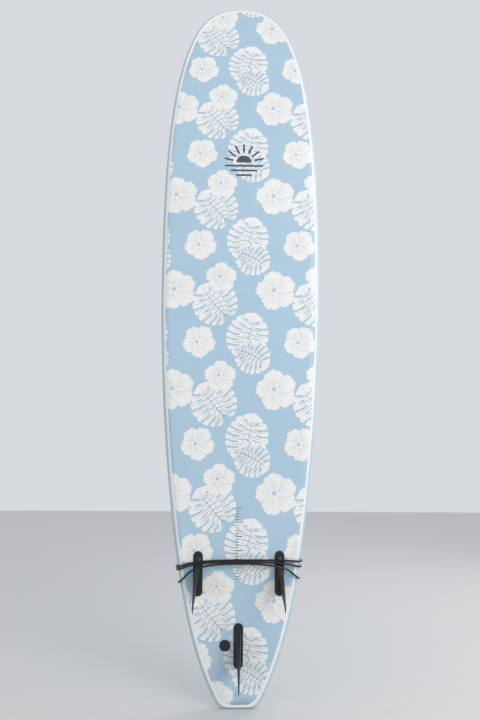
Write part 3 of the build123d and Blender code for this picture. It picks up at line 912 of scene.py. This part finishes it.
def placed(shapes, at, turn=0.0):
    """Shapes turned and moved to a place on the bottom, in (x, z)."""
    c, s = math.cos(turn), math.sin(turn)
    return [(ink, [Vector((at[0] + c * p.x - s * p.y, at[1] + s * p.x + c * p.y)) for p in outline])
            for ink, outline in shapes]


def motif_tile():
    """One repeat of the print: two leaves side by side, one leaf under a bloom, and blooms."""
    tile = []
    tile += placed(monstera(0.143, 0.172, 3, 0.05), (-0.060, 1.412), math.radians(40))
    tile += placed(hibiscus(0.061, 0.3, 11), (-0.074, 1.557))
    tile += placed(monstera(0.150, 0.158, 5, -0.06), (0.009, 1.652), math.radians(-17))
    tile += placed(monstera(0.112, 0.130, 7, 0.08), (0.007, 1.654), math.radians(-120))
    tile += placed(hibiscus(0.064, 1.0, 13), (-0.155, 1.688))
    tile += placed(hibiscus(0.078, 0.55, 17), (0.136, 1.507))
    return tile


EMBLEM_AT = Vector((0.010, 2.030))
SUN_RADIUS = 0.030
RULER_AT = (-0.013, 0.447)


def emblem():
    """A plain sunrise over three bars, in the middle of the upper bottom."""
    disc = [Vector((SUN_RADIUS * math.cos(angle), SUN_RADIUS * math.sin(angle)))
            for angle in [math.pi * i / 24 for i in range(25)]]
    shapes = [("charcoal", disc)]
    for ray in range(7):
        angle = math.pi * (ray + 0.5) / 7
        out = Vector((math.cos(angle), math.sin(angle)))
        shapes.append(("charcoal", stroke([out * 0.042, out * 0.078], [0.008, 0.0075])))
    for row, width in ((-0.014, 0.150), (-0.034, 0.105), (-0.054, 0.060)):
        bar = [Vector((-width / 2, row)), Vector((width / 2, row))]
        shapes.append(("charcoal", stroke(bar, [0.0080, 0.0080])))
    return placed(shapes, EMBLEM_AT)


def ruler():
    """A row of ruler marks up the middle of the lower bottom."""
    shapes = []
    left, bottom = RULER_AT
    for mark in range(26):
        length = 0.026 if mark % 5 == 0 else 0.013
        z = bottom + mark * 0.010
        shapes.append(("charcoal", stroke([Vector((left, z)), Vector((left + length, z))],
                                          [0.0022, 0.0022])))
    return shapes


def scuff():
    """Two faint rub marks near the tail."""
    marks = (((-0.022, 0.044), (0.004, 0.046)), ((-0.014, 0.050), (-0.002, 0.0495)))
    return [("slate", stroke(bend(Vector(a), Vector(b), 0.08, 3), (0.0004, 0.0016, 0.0018, 0.0004)))
            for a, b in marks]


def bottom_outline(inset):
    """The sheet's outline in (x, z), up the right side and down the left."""
    spots = [outline_spot(z, inset) for z in STATIONS]
    return [Vector(s) for s in spots] + [Vector((-x, z)) for x, z in reversed(spots)]


def ground_spots(inset):
    """Points that keep the sheet's facets small, closer together up the tucked rail."""
    spots = []
    for row in range(1, 137):
        z = row * 0.020
        edge = half_width(z) - inset if 0.03 < z < 2.73 else 0.0
        for column in range(-15, 16):
            x = column * 0.020
            if abs(x) < edge - 0.022:
                spots.append(Vector((x, z)))
        for near in (0.003, 0.0065, 0.0105, 0.015, 0.020):
            if edge > near + 0.01:
                spots.extend((Vector((edge - near, z)), Vector((near - edge, z))))
    return spots


def counter_clockwise(outline):
    area = sum(a.x * b.y - b.x * a.y for a, b in zip(outline, outline[1:] + outline[:1]))
    return outline if area > 0 else outline[::-1]


def printed_sheet():
    """The slick bottom sheet: one skin cut along the print's edges, each face in its ink."""
    inset = SEAM_INSET + SEAM_WIDTH - 0.001
    shapes = [("sky", bottom_outline(inset))]
    tile = motif_tile()
    for up in range(-5, 4):
        for across in (-1, 0, 1):
            shapes += [(ink, [p + Vector((across * TILE, up * TILE)) for p in outline])
                       for ink, outline in tile]
    shapes += emblem() + ruler() + scuff()
    edge = [half_width(z) for z in STATIONS]
    spots, faces, inks = [], [], []
    for index, (ink, outline) in enumerate(shapes):
        if index and not any(abs(p.x) < HALF + 0.01 and -0.01 < p.y < LENGTH + 0.01
                             for p in outline):
            continue
        faces.append([len(spots) + i for i in range(len(outline))])
        spots += counter_clockwise(outline)
        inks.append(ink)
    spots += ground_spots(inset)
    flat, _, cells, _, _, owners = delaunay_2d_cdt(spots, [], faces, 1, 1e-6, True)
    names = list(INKS)
    kept, indices = [], []
    for cell, owner in zip(cells, owners):
        if 0 in owner:
            kept.append(tuple(cell))
            indices.append(names.index(inks[max(owner)]))
    points = [bottom_point(p.x, p.y) for p in flat]
    piece = mesh_piece("printed_bottom", points, kept, list(INKS.values()), indices)
    work = bmesh.new()
    work.from_mesh(piece.data)
    loose = [v for v in work.verts if not v.link_faces]
    bmesh.ops.delete(work, geom=loose, context="VERTS")
    rim = [e for e in work.edges if e.is_boundary]
    made = bmesh.ops.extrude_edge_only(work, edges=rim)["geom"]
    for item in made:
        if isinstance(item, bmesh.types.BMVert):
            item.co.y += FILM
    work.normal_update()
    work.to_mesh(piece.data)
    work.free()
    print("printed bottom faces", len(piece.data.polygons))
    return settle(piece, "slick_sheet", "bottom_slick")


printed_sheet()


def seam_strip():
    """The pale strip that seals the sheet's edge all round, a little proud and rounded."""
    steps = 8
    loops = []
    for i in range(steps + 1):
        share = i / steps
        inset = SEAM_INSET + SEAM_WIDTH * (1 - share)
        lift = 0.0007 * math.sqrt(max(1 - (2 * share - 1) ** 4, 0)) - 0.0001
        loops.append([bottom_point(p.x, p.y, lift) for p in bottom_outline(inset)])
    count = len(loops[0])
    points = [p for loop in loops for p in loop]
    faces = [(i * count + k, (i + 1) * count + k,
              (i + 1) * count + (k + 1) % count, i * count + (k + 1) % count)
             for i in range(steps) for k in range(count)]
    piece = mesh_piece("seam_band", points, faces, [SEAM])
    return settle(piece, "seam_sheet", "seam_strip")


seam_strip()


# ======== the rail saver and its string
# heights over the deck: the strap's top, the fold's top, and the seams on each
SAVER_TOP = 0.0043
FOLD_TOP = 0.0073
SAVER_SEAM = 0.00435
FOLD_SEAM = 0.00735


def saver_spot(along, across, height):
    """A point over the deck, by its distance along the rail saver's line, across it and up."""
    line = Vector((RAIL_SWIVEL_AT.x - PLUG_AT[0], RAIL_SWIVEL_AT.z - PLUG_AT[1])).normalized()
    x = PLUG_AT[0] + line.x * along - line.y * across
    z = PLUG_AT[1] + line.y * along + line.x * across
    return Vector((x, deck_y(x, z), z)) + deck_normal(x, z) * height


def saver_strap(name, span, low, high, node):
    """A length of the rail saver's webbing, lying on the deck."""
    steps = max(int((span[1] - span[0]) / 0.005), 4)
    middle, profile = (low + high) / 2, rounded_strip(0.025, high - low, 0.0012)
    rings = []
    for i in range(steps + 1):
        share = i / steps
        pinch = 1 - 0.03 * (2 * abs(share - 0.5)) ** 12
        along = span[0] + (span[1] - span[0]) * share
        rings.append([saver_spot(along, a * pinch, middle + b * pinch) for a, b in profile])
    return settle(ring_skin(name, rings, WEBBING), "webbing", node)


def saver_stitches():
    """Long seams down both edges, and a crossed box where the fold is sewn down."""
    rows = []
    for across in (-0.0100, 0.0100):
        rows.append([saver_spot(0.108 + 0.11 * i / 12, across, SAVER_SEAM) for i in range(13)])
    corners = [(0.046, -0.0095), (0.046, 0.0095), (0.100, 0.0095), (0.100, -0.0095),
               (0.046, -0.0095)]
    crossed = [(corners[0], corners[2]), (corners[1], corners[3])]
    for (a, b), (c, d) in list(zip(corners, corners[1:])) + crossed:
        rows.append([saver_spot(a + (c - a) * i / 8, b + (d - b) * i / 8, FOLD_SEAM)
                     for i in range(9)])
    for along in (0.206, 0.212, 0.218):
        rows.append([saver_spot(along, -0.009 + 0.018 * i / 6, SAVER_SEAM) for i in range(7)])
    stitching("saver_stitches", rows)


saver_strap("saver_webbing", SAVER_SPAN, 0.0003, SAVER_TOP, "rail_saver")
saver_strap("saver_fold_webbing", FOLD_SPAN, SAVER_TOP, FOLD_TOP, "rail_saver_fold")
saver_stitches()

STRING_ROUTE = [(34.8, 2.2, 2.5), (10.5, 2.0, 2.5), (3.2, 1.8, -9.6), (-3.6, 0.3, -9.3),
                (-3.9, -0.6, -2.8), (2.4, -2.0, -2.3), (10.0, -2.2, 2.7), (34.8, -2.2, 2.5)]
STRING_DIAMETER = 0.003


def leash_string():
    """The thin braided loop from the rail saver round the plug's bar."""
    origin, along, across, up = plug_frame()
    points = [origin + (along * a + across * b + up * c) * MM for a, b, c in STRING_ROUTE]
    string = cord_curve("leash_string_line", points, STRING_DIAMETER, BRAID)
    settle(string, "string_braid", "leash_string")


leash_string()


# ======== the ankle cuff
CUFF_SLOPE = (deck_y(0, CUFF_Z + 0.0005) - deck_y(0, CUFF_Z - 0.0005)) / 0.001
CUFF_ORIGIN = Vector((CUFF_X, deck_y(0, CUFF_Z), CUFF_Z))
CUFF_ALONG = Vector((0, CUFF_SLOPE, 1)).normalized()
CUFF_UP = Vector((0, 1, -CUFF_SLOPE)).normalized()
CUFF_SIDE = Vector((1, 0, 0))
CUFF_RADIUS = 0.0075
CUFF_HALF = 0.065
CUFF_MIDDLE = 0.0104
CUFF_TOP = 0.0204
# the pull tab's and the key pocket's middles, up the cuff
TAB_AT = -0.052
POCKET_AT = 0.012


def cuff_spot(along, across, height):
    return CUFF_ORIGIN + CUFF_ALONG * along + CUFF_SIDE * across + CUFF_UP * height


def cuff_path(steps=30, turns=14):
    """The flattened loop's centre line: (along, height, outward along, outward up)."""
    path = []
    for start, side in ((0.5, 1), (1.5, -1)):
        for i in range(steps):
            path.append((side * CUFF_HALF - side * 2 * CUFF_HALF * i / steps, side * CUFF_RADIUS,
                         0.0, float(side)))
        for i in range(turns):
            angle = math.pi * (start + i / turns)
            path.append((-side * CUFF_HALF + CUFF_RADIUS * math.cos(angle),
                         CUFF_RADIUS * math.sin(angle), math.cos(angle), math.sin(angle)))
    return path


def cuff_ring(row, spots):
    """Profile spots (across, outward) set at one place of the loop."""
    along, height, out_along, out_up = row
    return [cuff_spot(along + out_along * b, a, CUFF_MIDDLE + height + out_up * b)
            for a, b in spots]


def cuff_pad():
    """The soft loop, crowned between its bound edges, with shallow sewn channels across it."""
    rings = []
    path = cuff_path()
    for index, row in enumerate(path):
        channel = 0.80 + 0.20 * abs(math.sin(math.pi * (index + 0.5) / 11)) ** 0.4
        spots = []
        for i in range(40):
            angle = 2 * math.pi * i / 40
            across, out = math.cos(angle), math.sin(angle)
            spots.append((0.0245 * math.copysign(abs(across) ** 0.35, across),
                          0.0026 * channel * math.copysign(abs(out) ** 0.7, out)))
        rings.append(cuff_ring(row, spots))
    pad = ring_skin("cuff_pad", rings, NEOPRENE, closed=True)
    settle(pad, "cuff_padding", "ankle_cuff")
    for name, across in (("cuff_binding_left", -0.0238), ("cuff_binding_right", 0.0238)):
        rings = [cuff_ring(row, [(across + a, b) for a, b in rounded_strip(0.0030, 0.0052, 0.0014)])
                 for row in path]
        settle(ring_skin(name, rings, WEBBING, closed=True), "cuff_fabric")


def cuff_layer(name, centre, size, corner, low, high, crown, material, slot, node):
    """A flat sewn layer with soft edges, its middle raised by crown."""
    rings = []
    soft = min(0.0012, (high - low) / 2)
    levels = [(0.0006, low), (0.0, low + soft * 0.6), (0.0, high - soft),
              (0.0004, high - soft * 0.35), (0.0012, high)]
    levels += [(0.0012 + (size[1] / 2 - 0.0022) * t, high + crown * math.sin(math.pi / 2 * t))
               for t in (0.2, 0.4, 0.6, 0.8, 0.96)]
    for inset, height in levels:
        plan = rounded_strip(size[0] - 2 * inset, size[1] - 2 * inset,
                             max(corner - inset, 0.0004), 6)
        rings.append([cuff_spot(centre + a, b, height) for a, b in plan])
    piece = flat_uv(ring_skin(name, rings, material), CUFF_ALONG, CUFF_SIDE)
    return settle(piece, slot, node)


def cuff_outline(centre, size, height):
    plan = [(centre + a, b) for a, b in rounded_strip(size[0], size[1], 0.003, 2)]
    return [cuff_spot(a, b, height) for a, b in plan + plan[:1]]


def ankle_cuff():
    """Pad, webbing, pull tab and key pocket, and their stitching."""
    cuff_pad()
    top = CUFF_TOP
    cuff_layer("cuff_webbing", 0.0, (0.120, 0.038), 0.002, top, top + 0.002, 0.0, WEBBING,
               "webbing", "cuff_strap")
    cuff_layer("cuff_pull_webbing", TAB_AT, (0.034, 0.034), 0.006, top + 0.002, top + 0.0046,
               0.0004, WEBBING, "webbing", "cuff_pull_tab")
    cuff_layer("cuff_pocket_cloth", POCKET_AT, (0.046, 0.032), 0.004, top + 0.002, top + 0.0048,
               0.0022, NEOPRENE, "cuff_fabric", "cuff_key_pocket")
    level = top + 0.00225
    rows = [cuff_outline(0.0, (0.114, 0.034), level),
            cuff_outline(TAB_AT, (0.028, 0.028), top + 0.0048),
            cuff_outline(POCKET_AT, (0.042, 0.028), top + 0.0051)]
    for sign in (-1, 1):
        rows.append([cuff_spot(-0.064 + 0.024 * i / 6, sign * (-0.012 + 0.024 * i / 6),
                               top + 0.0050) for i in range(7)])
    for along in (0.041, 0.046, 0.051):
        rows.append([cuff_spot(along, -0.014 + 0.028 * i / 6, level) for i in range(7)])
    stitching("cuff_stitches", rows)


ankle_cuff()


# ======== the floor and the light
def studio():
    """A pale floor, a pale backdrop and soft lights."""
    corners = [(-6, -6, -0.001), (6, -6, -0.001), (6, 6, -0.001), (-6, 6, -0.001)]
    tone = moulded("pale_floor", (0.62, 0.62, 0.61), (0.65, 0.65, 0.64))
    floor = mesh_piece("floor", corners, [(0, 1, 2, 3)], [tone])
    world = bpy.data.worlds.new("soft_room")
    bpy.context.scene.world = world
    world.use_nodes = True
    world.node_tree.nodes["Background"].inputs["Color"].default_value = (0.92, 0.95, 1.0, 1.0)
    world.node_tree.nodes["Background"].inputs["Strength"].default_value = 0.74
    for name, place, aim, size, power in (
            ("key", (2.8, -3.4, 2.6), (0, 0, 1.0), 2.6, 95),
            ("fill", (-3.2, -2.6, 2.2), (0, 0, 1.2), 2.5, 6),
            ("rim", (2.4, 1.6, 2.6), (0, 0, 1.4), 1.8, 30)):
        light = in_scene(bpy.data.objects.new(name, bpy.data.lights.new(name, "AREA")))
        light.data.size = size
        light.data.energy = power
        light.location = place
        light.rotation_euler = (Vector(aim) - Vector(place)).to_track_quat("-Z", "Y").to_euler()


studio()
